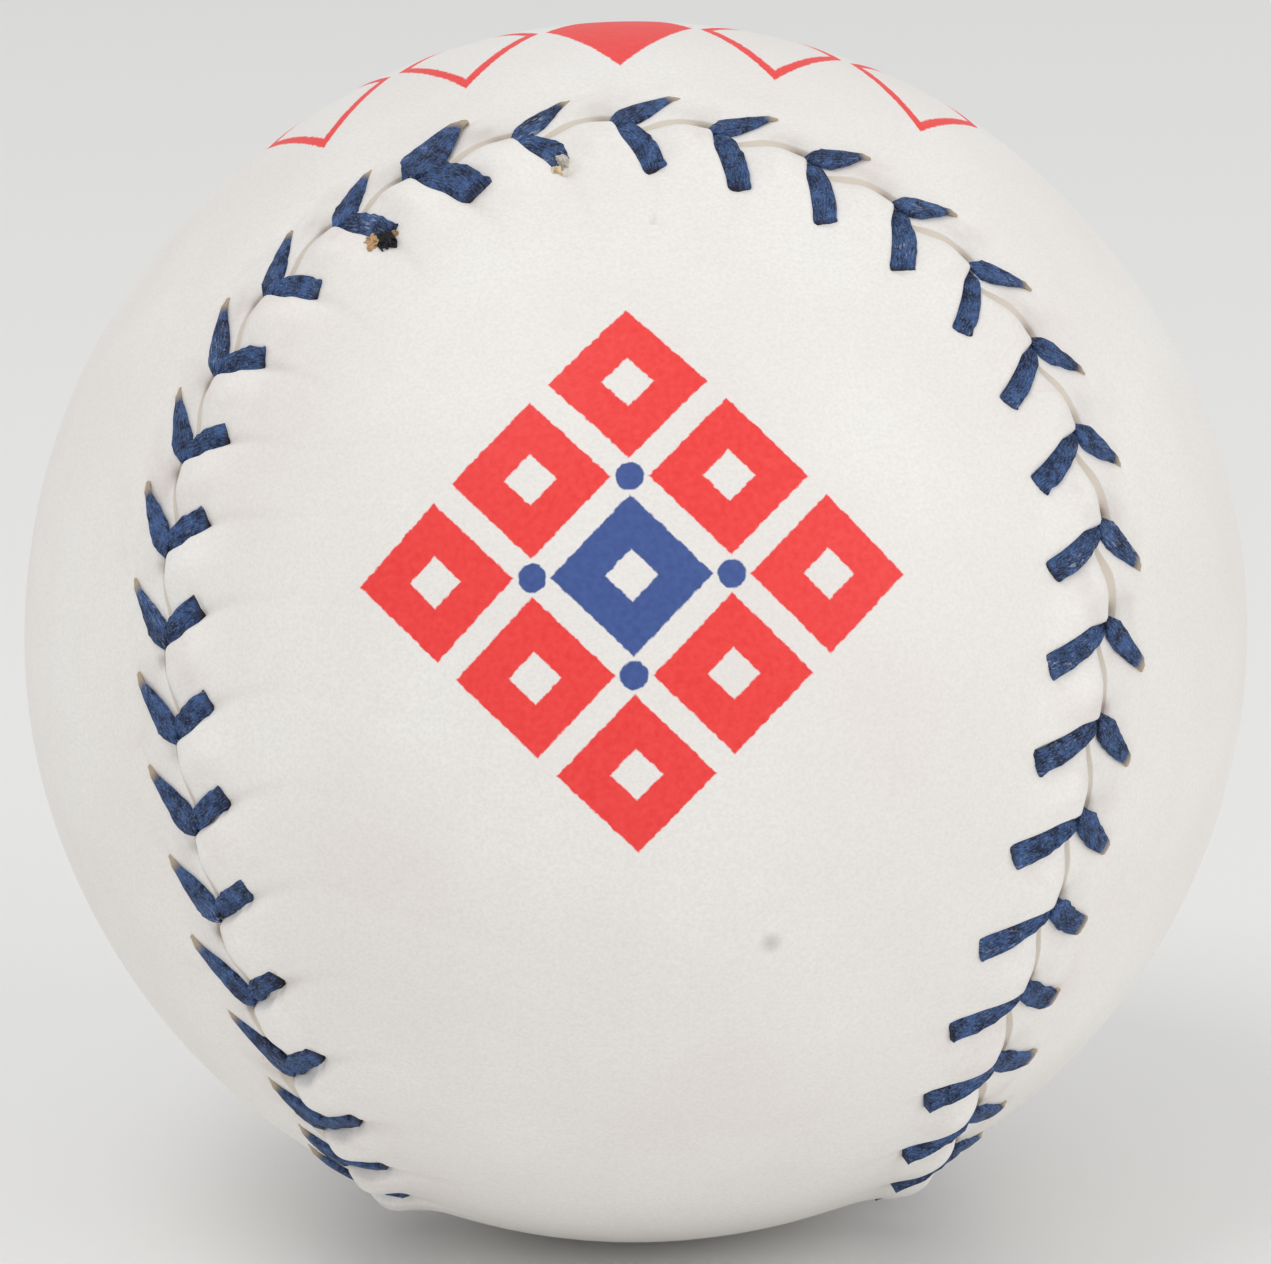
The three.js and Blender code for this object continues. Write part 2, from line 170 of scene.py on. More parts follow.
# Some upper legs are blunt
BLUNT_WIDTHS = ((0, 0.10), (0.08, 0.50), (0.18, 1.0), (0.30, 1.30), (0.80, 1.25), (1, 1.0))
TIP_SINK = {UPPER: (0.90, 0.2), LOWER: (0.75, 0.14)}  # from which share of a leg it sinks, and how far
TAIL_SINK = {UPPER: (0.12, 0.18), LOWER: (0.30, 0.22)}
LEG_SHARES = (0.985, 0.02)  # from just short of the hole to the root
SHARE_STEP = 0.01
TAN_SHARES = (0.84, 0.94)  # where an upper leg turns tan
CUT_START = 0.7  # from where a lower leg leans into its cut end
ROOT_JITTER, HOLE_JITTER = 0.06, 0.10  # how unlike the stitches are
WIDTH_JITTER, LIFT_JITTER = 0.06, 0.03
EDGE_JITTER = 0.04  # how uneven the width is along a leg
THREAD_THICKNESS = 0.36
THIN_SHARE = 0.4  # of that thickness, where the thread is narrow
THIN_WIDTHS = (0.2, 1.0)
RING_POWERS = (0.4, 0.6)  # how square the section is, across and through
PLY_DEPTH, PLY_COUNT, PLY_TWIST = 0.10, 1.5, 0.5
FIBRE_STREAKS = (3.0, 13.0, 0.0)  # a millimetre, along and across: coarser than real fibres, to show
THREAD_SEED = 5
SEAM_THREAD_WIDTH = 0.7
RUN_HEIGHT = -1.38
HOLE_DEPTHS = (RUN_HEIGHT, -0.8, -0.4)
TURN_REACH = 1.1
DIVE = (  # from the root down through the seam: across it, height and share of the width
    (0.0, -0.5, 0.2),
    (0.0, -0.9, 0.6),
    (-0.6, RUN_HEIGHT, 1.0),
    (-TURN_REACH, RUN_HEIGHT, 1.0),
)
KNOT_LEG = {STARTING_KNOT_STITCH: 0.75}  # this lower leg stops short
DOUBLE_STITCH = -2  # the overlap of the two ends, sewn twice
DOUBLE_WIDTH = {UPPER: 1.7, LOWER: 1.45}

# The finished-off ends. A clump is its place ahead of the point of the V, its distance from the seam and
# its height, its spread, how many strands it has and its shade.
STARTING_CLUMPS = ((1.55, 2.45, 0.10, 0.28, 26, 0.0), (1.1, 3.2, 0.10, 0.22, 16, 1.0))
FINISHING_CLUMPS = (
    (0.5, 2.85, 0.22, 0.46, 70, 0.0),
    (1.25, 3.2, 0.18, 0.50, 80, 1.0),
    (1.9, 3.0, 0.0, 0.2, 8, 0.35),
)
STRAND_SPREAD = (0.75, 0.75, 0.25)
STRAND_LIMIT = 1.3  # the furthest that a strand strays, in spreads
STRAND_SINK, STRAND_ARCH = 0.45, 0.40
STRAND_SIDE = (0.3, 0.2, 1.0)  # a way that no strand runs
STRAND_SIZES = (0.6, 1.2)
STRAND_TAPER = 0.5
STRAND_RADIUS = 0.10
STARTING_SEED, FINISHING_SEED = 3, 4
STRAND_STEPS = 7
STRAND_CORNERS = 6

# Under the cover
STRING_RADIUS, STRING_INSIDE = 28.05, 25.95
WOOL_RADIUS, WOOL_INSIDE = 25.6, 16.3
CORK_RADIUS = 15.9
STRING_WIDTH, STRING_TURNS = 0.9, 105
WOOL_WIDTH, WOOL_TURNS = 1.7, 64
WINDING_DRIFT = (0.021, 0.034)  # how far the winder turns the ball, in two ways, for each radian of yarn
TURN_STEPS = 56
YARN_CORNERS = 6
YARN_BED = 0.7  # how deep the yarn's bed lies, in widths of yarn
CORK_PIT = 0.12
CORK_WAVES = 20
CORK_FREQUENCIES = (20, 45)
CORK_TURN = 6.3  # radians
CORK_SEED = 23

# The print: nine diamonds on the front lobe and a chain of five on the upper panel's neck
PRINT_ELEVATION_DEG = 17.8
LATTICE_PITCH = 6.4
LATTICE_DIAMOND = 5.2
DIAMOND_HEART = 1.7
LATTICE_DOT = 0.65
CHAIN_PITCH = 7.5
CHAIN_WIDTH = 15.8
CHAIN_DIAMONDS = 5
CHAIN_LINE = (0.78, 0.95)  # the outline, in shares of a diamond
CHAIN_BLUR = 0.02
INK_BLUR = 0.05
INK_BLEED = 0.2
BLEED_SCALE = 3.0  # blots a millimetre
SMUDGE_PLACE_DEG = (11.6, -15.8)  # round the ball and up
SMUDGE_RADIUS = 0.75
SMUDGE_STRENGTH = 0.4

# The photograph's camera
CAMERA_DISTANCE = 316.4
CAMERA_ELEVATION_DEG = 12.75
CAMERA_ROLL_DEG = -1.36
CAMERA_LENS = 180.25
SENSOR_WIDTH = 36.0

# The stage
FLOOR_REACH = 2  # metres
ROOM_STRENGTH = 0.69
LIGHTS = (  # name, place in metres, size and power
    ("key_softbox", (0.60, -0.46, 0.30), 0.5, 1.13),
    ("top_softbox", (-0.25, -0.30, 0.72), 0.35, 1.25),
)

# Mesh steps
SEAM_SAMPLES = 7200
COLUMNS = 24  # a stitch
RIB_STEPS = 24
FLESH_RIB_STEPS = 8
LEG_STEPS = 16
RING_POINTS = 28
LIP_STEPS = 7
ROW_START, ROW_STEP, ROW_END = 0.2, 0.22, 4.9  # rows past the lip, as far as the shaping is fine
OUTER_ROWS = (5.3, 6.0)


# The seam

def seam_direction(turn):
    t = turn + np.pi / 4
    elevation = np.radians(SEAM_PEAK_DEG) * np.sin(2 * t)
    longitude = turn - np.radians(SEAM_SWING_DEG) * np.sin(4 * t) - np.pi / 2
    level = np.cos(elevation)
    return np.stack([level * np.cos(longitude), level * np.sin(longitude), np.sin(elevation)], axis=-1)


SEAM_TURNS = np.linspace(0, 2 * np.pi, SEAM_SAMPLES + 1)
seam_steps = np.linalg.norm(np.diff(seam_direction(SEAM_TURNS), axis=0), axis=1) * BALL_RADIUS
SEAM_LENGTHS = np.concatenate([[0], np.cumsum(seam_steps)])
SEAM_LENGTH = SEAM_LENGTHS[-1]
PITCH = SEAM_LENGTH / STITCHES


def stray(along, places):
    """How far the sewing strays from its even line, along the seam or across it."""
    total = 0
    for stitch, spread, far in places:
        off = np.mod(along / PITCH - stitch + STITCHES / 2, STITCHES) - STITCHES / 2
        total = total + far * np.exp(-((off / spread) ** 2))
    return total


def place(along, across, height):
    """Points in metres from places on the cover."""
    across = across + stray(along, SEAM_STRAYS)
    along = along + SPACING_SHIFT + stray(along, SPACING_STRAYS)
    turn = np.interp(np.mod(along, SEAM_LENGTH), SEAM_LENGTHS, SEAM_TURNS)
    step = 2 * np.pi / SEAM_SAMPLES
    out = seam_direction(turn)
    left = np.cross(out, seam_direction(turn + step) - seam_direction(turn - step))
    left /= np.linalg.norm(left, axis=-1, keepdims=True)
    angle = np.asarray(across / BALL_RADIUS)[..., None]
    direction = out * np.cos(angle) + left * np.sin(angle)
    return direction * np.asarray(BALL_RADIUS + height)[..., None] * MM


def smooth(start, end, value):
    share = np.clip((value - start) / (end - start), 0, 1)
    return share * share * (3 - 2 * share)


def hump(phases, phase):
    """Rises and falls again between phases: rise, full, still full, foot."""
    return smooth(phases[0], phases[1], phase) * (1 - smooth(phases[2], phases[3], phase))


def sewers_pull(along):
    """From -1 to 1 and back, twice round the seam, as the ball is turned in the sewer's hands."""
    return np.sin(4 * np.pi * along / SEAM_LENGTH + PULL_SHIFT)


def hole_place(vertex, side):
    """How far a leg's hole lies ahead of the point of its V, and how far from the seam."""
    pull = sewers_pull(vertex)
    advance = HOLE_ADVANCE[side] + ADVANCE_PULL[side] * pull
    reach = HOLE_REACH[side] + REACH_PULL[side] * pull
    return advance + stray(vertex, ADVANCE_STRAYS[side]), reach + stray(vertex, REACH_STRAYS[side])


def left_hand(vertex):
    """From 0 down the right of a lobe to 1 down its left, where a lower leg's end is cut along the seam and
    the leather creases beyond the holes."""
    return 0.5 - 0.5 * sewers_pull(vertex)


def bend_place(vertex, side):
    """Where a leg bends, ahead of the point of its V and away from the seam."""
    pull = sewers_pull(vertex)
    return LEG_BEND[side][0] + BEND_PULL[side][0] * pull, LEG_BEND[side][1] + BEND_PULL[side][1] * pull


# The leather panels

def trench_line(vertex, reach, side):
    """How far ahead of its V's point the middle of a leg's trench lies, at a distance from the seam."""
    ahead, hole = hole_place(vertex, side)
    root = TRENCH_ROOT[side] + stray(vertex, ROOT_STRAYS)
    slope = (ahead - root) / hole
    beyond = np.maximum(reach - hole, 0)
    fading = CREASE_FADE * (1 - np.exp(-beyond / CREASE_FADE))
    return root + slope * (np.clip(reach, 0, hole) + fading)


def lumps(directions):
    """A low unevenness all over the ball."""
    dice = np.random.default_rng(LUMP_SEED)
    height = np.zeros(directions.shape[:-1])
    for _ in range(LUMP_WAVES):
        way = dice.normal(size=3)
        wave = dice.uniform(*LUMP_FREQUENCIES) * way / np.linalg.norm(way)
        height += np.sin(directions @ wave + dice.uniform(0, 2 * np.pi))
    return LUMP_HEIGHT * height / math.sqrt(LUMP_WAVES)


def draw_line(vertex, phase, reach, side):
    """How far the crease beyond a leg's hole is felt, from 0 to 1."""
    hole = hole_place(vertex, side)[1]
    from_leg = np.where(phase < 0.5, phase, phase - 1)
    beyond = np.exp(-np.maximum(reach - hole, 0) / CREASE_FADE) * smooth(hole - CREASE_START, hole, reach)
    middle = np.exp(-(((from_leg + CREASE_SHIFT) * PITCH / CREASE_WIDTH) ** 2))
    return left_hand(vertex) * beyond * middle


def leather_height(vertex, phase, reach, side):
    ahead, hole = hole_place(vertex, side)
    bend_ahead, bend_reach = bend_place(vertex, side)
    top, foot, front = TRENCH_PHASES[side]
    from_leg = np.where(phase < 0.5, phase, phase - 1)
    pull = sewers_pull(vertex)
    corner = (CORNER_SHIFT + CORNER_PULL * pull) * (1 - smooth(0, CORNER_REACH, reach))
    corner -= END_CORNER * left_hand(vertex) * smooth(hole - CORNER_REACH, hole, reach)
    corner = np.where(phase > 0.5, corner, 0)
    dip = smooth(top, foot, from_leg + corner) * np.clip((front - from_leg) / (front - foot), 0, 1)
    swell = PUFF_HEIGHT[side] * np.exp(-(((reach - PUFF_REACH) / PUFF_SPREAD) ** 2))
    end = hole
    if side == LOWER:
        square = (ahead - bend_ahead) / (hole - bend_reach)
        end = hole - (1 - left_hand(vertex)) * square * from_leg * PITCH
    trench = TRENCH_DEPTH[side] * (1 - smooth(end, end + TRENCH_END, reach))
    prick = np.exp(-((from_leg * PITCH / DIMPLE_SIZE[0]) ** 4) - ((reach - hole) / DIMPLE_SIZE[1]) ** 2)
    full = hump(PUFF_PHASES[side], phase + corner)
    from_top = (phase - DOME_PHASE) * PITCH
    dome = np.exp(-((from_top / DOME_SIZE[0]) ** 2) - ((reach - DOME_REACH) / DOME_SIZE[1]) ** 2)
    lip = 1 - np.sqrt(1 - (1 - np.clip(reach / LIP_WIDTH[side], 0, 1)) ** 2)
    return (
        swell * full
        + DOME_HEIGHT[side] * dome
        - trench * dip
        - CREASE_DEPTH[side] * draw_line(vertex, phase, reach, side)
        - HOLE_DIMPLE * prick
        - LIP_DROP[side] * lip * (LIP_LEAST + (1 - LIP_LEAST) * full)
    )


def openness(along):
    """How open the seam is: most over the tops of the lobes, and in places further down the front one."""
    return stray(along, OPEN_STRAYS)


def past_leg(along):
    """How far ahead of the last lower leg a place on the seam lies."""
    return np.mod(along - TRENCH_ROOT[LOWER] - stray(along, ROOT_STRAYS), PITCH)


def gap_width(along):
    """Between the two edges: it opens ahead of each leg."""
    ahead = past_leg(along)
    return GAP_NARROW + (GAP_WIDE - GAP_NARROW) * openness(along) * smooth(*GAP_OPENING, ahead)


def edge_setback(along, side):
    """From the seam's middle line to a panel's edge, away from it."""
    ahead = past_leg(along)
    share = EDGE_TIGHT + (1 - EDGE_TIGHT) * openness(along)
    lower = EDGE_SETBACK - EDGE_SWELL * share * hump(EDGE_PHASES, ahead / PITCH)
    return lower if side == LOWER else gap_width(along) - lower


def soil(along, across):
    """How much the leather is darkened by the stitches: the thread's dye and wax come off on it, and shade is
    painted at the points of the V's and behind the upper legs.
    """
    total = 0
    for (ahead, reach), width, share in (
        (DYE_SHADE_PLACE, DYE_SHADE_WIDTH, 1.0),
        (HALO_PLACE, HALO_WIDTH, HALO_SHARE),
    ):
        off = np.mod(along - ahead + PITCH / 2, PITCH) - PITCH / 2
        total = total + share * np.exp(-(off ** 2 + (across - reach) ** 2) / width ** 2)
    return total * (DYE_SHADE_TIGHT + (1 - DYE_SHADE_TIGHT) * openness(along))


def panel_rows(side):
    """The profile of a panel as rows of distance from its edge, the share of the gap that the row runs out
    into, height over the sphere or None where the stitches shape it, and how raw the leather is: along the
    flesh side, up the cut edge and over the top."""
    flesh = -LEATHER_THICKNESS
    thin = -EDGE_THICKNESS
    rows = [(BORDER_REACH, 0, flesh, 1), (BORDER_REACH - SKIVE_WIDTH, 0, thin, 1), (FLESH_REACH, 0, thin, 1)]
    for reach, gap_share, depth, rawness in EDGE_PROFILE[side]:
        rows.append((reach, gap_share, depth * thin, rawness))
    lip = LIP_WIDTH[side] * (1 - np.cos(np.linspace(0, np.pi / 2, LIP_STEPS)))
    middle = np.arange(lip[-1] + ROW_START, ROW_END, ROW_STEP)
    top = np.concatenate([lip, middle, OUTER_ROWS, [BORDER_REACH]])
    return rows + [(reach, 0, None, 0) for reach in top]


def panel_piece(name, side, tip_stitch, print_centre, print_right):
    columns = STITCHES * COLUMNS
    count = np.arange(columns)
    phase = np.mod(count / COLUMNS, 1)
    vertex = np.floor(count / COLUMNS) * PITCH
    points, raw, reaches, dye_and_shade = [], [], [], []
    rows = panel_rows(side)
    for reach, gap_share, height, rawness in rows:
        line = trench_line(vertex, reach, side)
        next_line = trench_line(vertex + PITCH, reach, side)
        along = count / COLUMNS * PITCH + line + (next_line - line) * phase
        setback = edge_setback(along, side) * (1 - smooth(0, EDGE_FADE, reach))
        setback -= gap_share * (gap_width(along) + GAP_OVERLAP)
        if height is None:
            shaped = leather_height(vertex + phase * PITCH, phase, reach, side)
        else:
            shaped = np.full(columns, float(height))
        points.append(place(along, side * (reach + setback), shaped))
        raw.append(rawness * (TIGHT_RAWNESS + (1 - TIGHT_RAWNESS) * openness(along)))
        reaches.append(np.full(columns, reach))
        crease = draw_line(vertex + phase * PITCH, phase, reach, side)
        # Dye by the stitches, with painted shade there and along the draw lines
        dye_and_shade.append(soil(along, side * (reach + setback)) + CREASE_PAINTED_SHADE[side] * crease)
    faces = []
    for row in range(len(rows) - 1):
        for column in range(columns):
            after = (column + 1) % columns
            low, high = row * columns, (row + 1) * columns
            faces.append((low + column, low + after, high + after, high + column))
    points, raw, reaches, dye_and_shade = (list(np.concatenate(kept)) for kept in (points, raw, reaches, dye_and_shade))
    tip = tip_stitch * COLUMNS

    def loft(row, steps, rawness, inward):
        """Spans a panel's border row with ribs between mirrored columns, from lobe tip to lobe tip."""
        start = row * columns
        ribs = []
        for i in range(columns // 2 + 1):
            first, last = start + (tip + i) % columns, start + (tip - i) % columns
            if first == last:
                ribs.append([first] * (steps + 1))
                continue
            a, b = points[first], points[last]
            width = math.acos(np.clip(a @ b / np.linalg.norm(a) / np.linalg.norm(b), -1, 1))
            rib = [first]
            for j in range(1, steps):
                share = j / steps
                rib.append(len(points))
                bow = a * math.sin((1 - share) * width) + b * math.sin(share * width)
                points.append(bow / math.sin(width))
                raw.append(rawness)
                reaches.append(2 * BORDER_REACH)
                dye_and_shade.append(0.0)
            ribs.append(rib + [last])
        for here, there in zip(ribs, ribs[1:]):
            for j in range(steps):
                corners = list(dict.fromkeys((here[j], there[j], there[j + 1], here[j + 1])))
                faces.append(tuple(reversed(corners)) if inward else tuple(corners))

    loft(len(rows) - 1, RIB_STEPS, 0.0, False)
    loft(0, FLESH_RIB_STEPS, 1.0, True)
    points = np.array(points)
    directions = points / np.linalg.norm(points, axis=1, keepdims=True)
    points += directions * lumps(directions)[:, None] * MM
    if side == LOWER:
        faces = [tuple(reversed(face)) for face in faces]
    piece = mesh_piece(name, points, faces)
    add_attribute(piece, "raw_edge", "FLOAT", raw)
    add_attribute(piece, "from_seam", "FLOAT", reaches)
    add_attribute(piece, "soil", "FLOAT", dye_and_shade)
    add_attribute(piece, "print_place", "FLOAT_VECTOR", print_place(directions, print_centre, print_right))
    return piece


def print_place(directions, centre, right):
    """Flat places round the middle of a print, true to length along each line from it."""
    up = np.cross(centre, right)
    x, y = directions @ right, directions @ up
    level = np.maximum(np.hypot(x, y), 1e-9)
    arc = BALL_RADIUS * np.arctan2(level, directions @ centre)
    return np.stack([arc * x / level, arc * y / level, np.zeros(len(x))], axis=1)


# The sewing threads

def bezier(start, bend, end, share):
    share = np.asarray(share)[:, None]
    return start * (1 - share) ** 2 + 2 * bend * share * (1 - share) + end * share ** 2


def thread_stations(first_side):
    """Along one needle's thread: its middle and the way of its width, in seam coordinates, its width, how
    far it is worn to tan, or where that is negative the painted shade down a lower leg's hole, and how it
    leans into a cut end."""
    dice = np.random.default_rng(THREAD_SEED + first_side)
    stations = []
    for count in range(STITCHES):
        stitch = START_STITCH + count
        side = first_side if count % 2 == 0 else -first_side
        jitter = dice.normal(size=6)
        vertex = stitch * PITCH
        ahead, reach = hole_place(vertex, side)
        start = vertex + LEG_ROOT[side][0] + stray(vertex, ROOT_STRAYS) + ROOT_JITTER * jitter[2]
        root = np.array([start, side * LEG_ROOT[side][1]])
        bend_ahead, bend_reach = bend_place(vertex, side)
        bend = np.array([vertex + bend_ahead, side * bend_reach])
        if side == LOWER and stitch in KNOT_LEG:
            reach *= KNOT_LEG[stitch]
        hole = np.array([vertex + ahead + HOLE_JITTER * jitter[0], side * (reach + HOLE_JITTER * jitter[1])])
        spread = 1 + WIDTH_JITTER * jitter[3] + stray(vertex, WIDTH_STRAYS[side])
        blunt = np.clip(stray(vertex, BLUNT_STRAYS), 0, 1) if side == UPPER else 0
        lift = LIFT_JITTER * jitter[5]
        slant = LEG_TILT[side]
        if side == LOWER:
            slant += stray(vertex, TILT_STRAYS)
            lift += TILT_LIFT * stray(vertex, TILT_STRAYS)
        if stitch == DOUBLE_STITCH:
            spread *= DOUBLE_WIDTH[side]
            lift += THREAD_THICKNESS / 2
        shares = np.concatenate([[1.0], np.linspace(*LEG_SHARES, LEG_STEPS - 1)])
        leg = (root, bend, hole)
        line = bezier(*leg, shares)
        way = bezier(*leg, shares - SHARE_STEP) - bezier(*leg, shares + SHARE_STEP)
        way /= np.linalg.norm(way, axis=1, keepdims=True)
        widths = spread * np.interp(shares, *np.transpose(LEG_WIDTHS[side]))
        widths += blunt * (np.interp(shares, *np.transpose(BLUNT_WIDTHS)) - widths)
        widths *= 1 + EDGE_JITTER * dice.normal(size=LEG_STEPS)
        heights = LEG_HEIGHT[side] + lift - TIP_SINK[side][1] * smooth(TIP_SINK[side][0], 1, shares)
        heights -= TAIL_SINK[side][1] * (1 - smooth(0, TAIL_SINK[side][0], shares))
        tan = smooth(*TAN_SHARES, shares) if side == UPPER else np.zeros(LEG_STEPS)

        cut = -left_hand(vertex) * way[0][0] / way[0][1] ** 2 if side == LOWER else 0
        lean = cut * smooth(CUT_START, 1, shares)[:, None] * way
        hole_way = np.array([-way[0][1], way[0][0]])
        # Down its hole a lower leg gets painted shade, -1, and an upper leg is worn tan, 1
        for depth in HOLE_DEPTHS:
            stations.append((*hole, depth, *hole_way, 0.0, widths[0], float(side), *lean[0]))
        for i in range(LEG_STEPS):
            tilt = -way[i][1] * slant
            stations.append((*line[i], heights[i], -way[i][1], way[i][0], tilt, widths[i], tan[i], *lean[i]))
        for across, depth, narrowing in DIVE:
            width = narrowing * SEAM_THREAD_WIDTH
            stations.append((root[0], side * across, depth, 1.0, 0.0, 0.0, width, 0.0, 0.0, 0.0))
    return np.array(stations)


def thread_piece(name, first_side):
    stations = thread_stations(first_side)
    centres, wide, widths, tans_and_hole_shades, leans = np.split(stations, (3, 6, 7, 8), axis=1)
    ahead = np.gradient(centres, axis=0)
    ahead /= np.linalg.norm(ahead, axis=1, keepdims=True)
    per_stitch = len(stations) // STITCHES
    first = len(HOLE_DEPTHS)
    ahead[first::per_stitch] = ahead[first + 1::per_stitch]  # a leg's end keeps the leg's own way
    wide -= ahead * np.sum(wide * ahead, axis=1, keepdims=True)
    wide /= np.linalg.norm(wide, axis=1, keepdims=True)
    for i in range(1, len(wide)):
        if wide[i] @ wide[i - 1] < 0:
            wide[i] = -wide[i]
    thick = np.cross(ahead, wide)
    lengths = np.concatenate([[0], np.cumsum(np.linalg.norm(np.diff(centres, axis=0), axis=1))])

    around = 2 * np.pi * np.arange(RING_POINTS) / RING_POINTS
    x = np.sign(np.cos(around)) * np.abs(np.cos(around)) ** RING_POWERS[0]
    y = np.sign(np.sin(around)) * np.abs(np.sin(around)) ** RING_POWERS[1]
    ply = 1 + PLY_DEPTH * np.cos(2 * np.pi * PLY_COUNT * x + PLY_TWIST * lengths[:, None])
    beside = x * widths / 2
    thickness = THREAD_THICKNESS * (THIN_SHARE + (1 - THIN_SHARE) * smooth(*THIN_WIDTHS, widths))
    above = y * ply * thickness / 2
    places = centres[:, None] + beside[..., None] * wide[:, None] + above[..., None] * thick[:, None]
    places[..., :2] -= (beside * wide[:, :1])[..., None] * leans[:, None]
    fibres = np.stack(np.broadcast_arrays(lengths[:, None], beside, tans_and_hole_shades), axis=-1)
    points = place(places[..., 0], places[..., 1], places[..., 2]).reshape(-1, 3)
    piece = mesh_piece(name, points, tube_faces(len(centres), RING_POINTS))
    add_attribute(piece, "fibre_place", "FLOAT_VECTOR", fibres)
    return piece


# The finished-off ends

def knot_piece(name, stitch, clumps, seed):
    """Clumps of short bent strands on the lower panel, beside the end of a leg."""
    dice = np.random.default_rng(seed)
    around = 2 * np.pi * np.arange(STRAND_CORNERS) / STRAND_CORNERS
    share = np.linspace(0, 1, STRAND_STEPS)
    points, faces, shades = [], [], []
    for ahead, reach, height, spread, strands, shade in clumps:
        middle = np.array([stitch * PITCH + ahead, LOWER * reach, height])
        for _ in range(strands):
            strays = np.clip(dice.normal(size=(3, 3)), -STRAND_LIMIT, STRAND_LIMIT)
            foot, bend, tip = middle + spread * strays * STRAND_SPREAD
            foot[2] -= STRAND_SINK
            bend[2] += STRAND_ARCH
            line = bezier(foot, bend, tip, share)
            ahead_way = np.gradient(line, axis=0)
            ahead_way /= np.linalg.norm(ahead_way, axis=1, keepdims=True)
            beside = np.cross(ahead_way, STRAND_SIDE)
            beside /= np.linalg.norm(beside, axis=1, keepdims=True)
            above = np.cross(beside, ahead_way)
            radius = STRAND_RADIUS * dice.uniform(*STRAND_SIZES) * (1 - STRAND_TAPER * share ** 2)
            ring = np.cos(around)[:, None] * beside[:, None] + np.sin(around)[:, None] * above[:, None]
            places = line[:, None] + radius[:, None, None] * ring
            faces += tube_faces(STRAND_STEPS, STRAND_CORNERS, len(points) * STRAND_STEPS * STRAND_CORNERS)
            points.append(place(places[..., 0], places[..., 1], places[..., 2]).reshape(-1, 3))
            shades += [shade] * (STRAND_STEPS * STRAND_CORNERS)
    piece = mesh_piece(name, np.concatenate(points), faces)
    add_attribute(piece, "shade", "FLOAT", shades)
    return piece


# Under the cover

def ball_mesh(radius, inward, start=0, rings=24, sides=48):
    """Points and faces of a plain sphere, in millimetres."""
    points = [(0, 0, -radius)]
    for i in range(1, rings):
        rise = math.pi * (i / rings - 0.5)
        for j in range(sides):
            turn = 2 * math.pi * j / sides
            level = radius * math.cos(rise)
            points.append((level * math.cos(turn), level * math.sin(turn), radius * math.sin(rise)))
    points.append((0, 0, radius))
    faces = []
    for j in range(sides):
        after = (j + 1) % sides
        faces.append((0, 1 + after, 1 + j))
        for i in range(rings - 2):
            low, high = 1 + i * sides, 1 + (i + 1) * sides
            faces.append((low + j, low + after, high + after, high + j))
        last = 1 + (rings - 2) * sides
        faces.append((last + j, last + after, len(points) - 1))
    faces = [tuple(start + corner for corner in face) for face in faces]
    return np.array(points), [tuple(reversed(face)) for face in faces] if inward else faces


def winding_piece(name, outside, inside, yarn, turns):
    """A wound layer: a packed bed with one unbroken yarn round it, the ball turned a little at every turn."""
    travel = np.linspace(0, 2 * np.pi * turns, turns * TURN_STEPS)
    level, drift = WINDING_DRIFT[0] * travel, WINDING_DRIFT[1] * travel
    x, y, z = np.cos(travel), np.sin(travel) * np.cos(drift), np.sin(travel) * np.sin(drift)
    out = np.stack([x * np.cos(level) - y * np.sin(level), x * np.sin(level) + y * np.cos(level), z], axis=1)
    beside = np.cross(out, np.gradient(out, axis=0))
    beside /= np.linalg.norm(beside, axis=1, keepdims=True)
    around = 2 * np.pi * np.arange(YARN_CORNERS) / YARN_CORNERS
    ring = np.cos(around)[:, None] * out[:, None] + np.sin(around)[:, None] * beside[:, None]
    strand = (out[:, None] * (outside - yarn / 2) + yarn / 2 * ring).reshape(-1, 3)
    bed, bed_faces = ball_mesh(outside - YARN_BED * yarn, False, len(strand))
    hollow, hollow_faces = ball_mesh(inside, True, len(strand) + len(bed))
    faces = tube_faces(len(out), YARN_CORNERS) + bed_faces + hollow_faces
    return mesh_piece(name, np.concatenate([strand, bed, hollow]) * MM, faces)


def core_piece(name):
    """The moulded cork ball, a little pitted between its granules."""
    points, faces = ball_mesh(CORK_RADIUS, False, rings=60, sides=120)
    dice = np.random.default_rng(CORK_SEED)
    directions = points / CORK_RADIUS
    pits = np.zeros(len(points))
    for _ in range(CORK_WAVES):
        way = dice.normal(size=3)
        wave = way / np.linalg.norm(way) * dice.uniform(*CORK_FREQUENCIES)
        pits += np.sin(directions @ wave + dice.uniform(0, CORK_TURN))
    depth = CORK_PIT * np.clip(pits / math.sqrt(CORK_WAVES), -1, 0)
    return mesh_piece(name, (points + directions * depth[:, None]) * MM, faces)


# Meshes

def tube_faces(rings, corners, start=0):
    """Faces of a closed tube through rings of corners."""
    faces = []
    for i in range(rings - 1):
        low, high = start + i * corners, start + (i + 1) * corners
        for j in range(corners):
            after = (j + 1) % corners
            faces.append((low + j, low + after, high + after, high + j))
    faces.append(tuple(range(start + corners - 1, start - 1, -1)))
    faces.append(tuple(range(start + (rings - 1) * corners, start + rings * corners)))
    return faces


def mesh_piece(name, points, faces):
    mesh = bpy.data.meshes.new(name)
    mesh.from_pydata([tuple(p) for p in points], [], faces)
    mesh.polygons.foreach_set("use_smooth", [True] * len(mesh.polygons))
    mesh.update()
    piece = bpy.data.objects.new(name, mesh)
    scene.collection.objects.link(piece)
    return piece


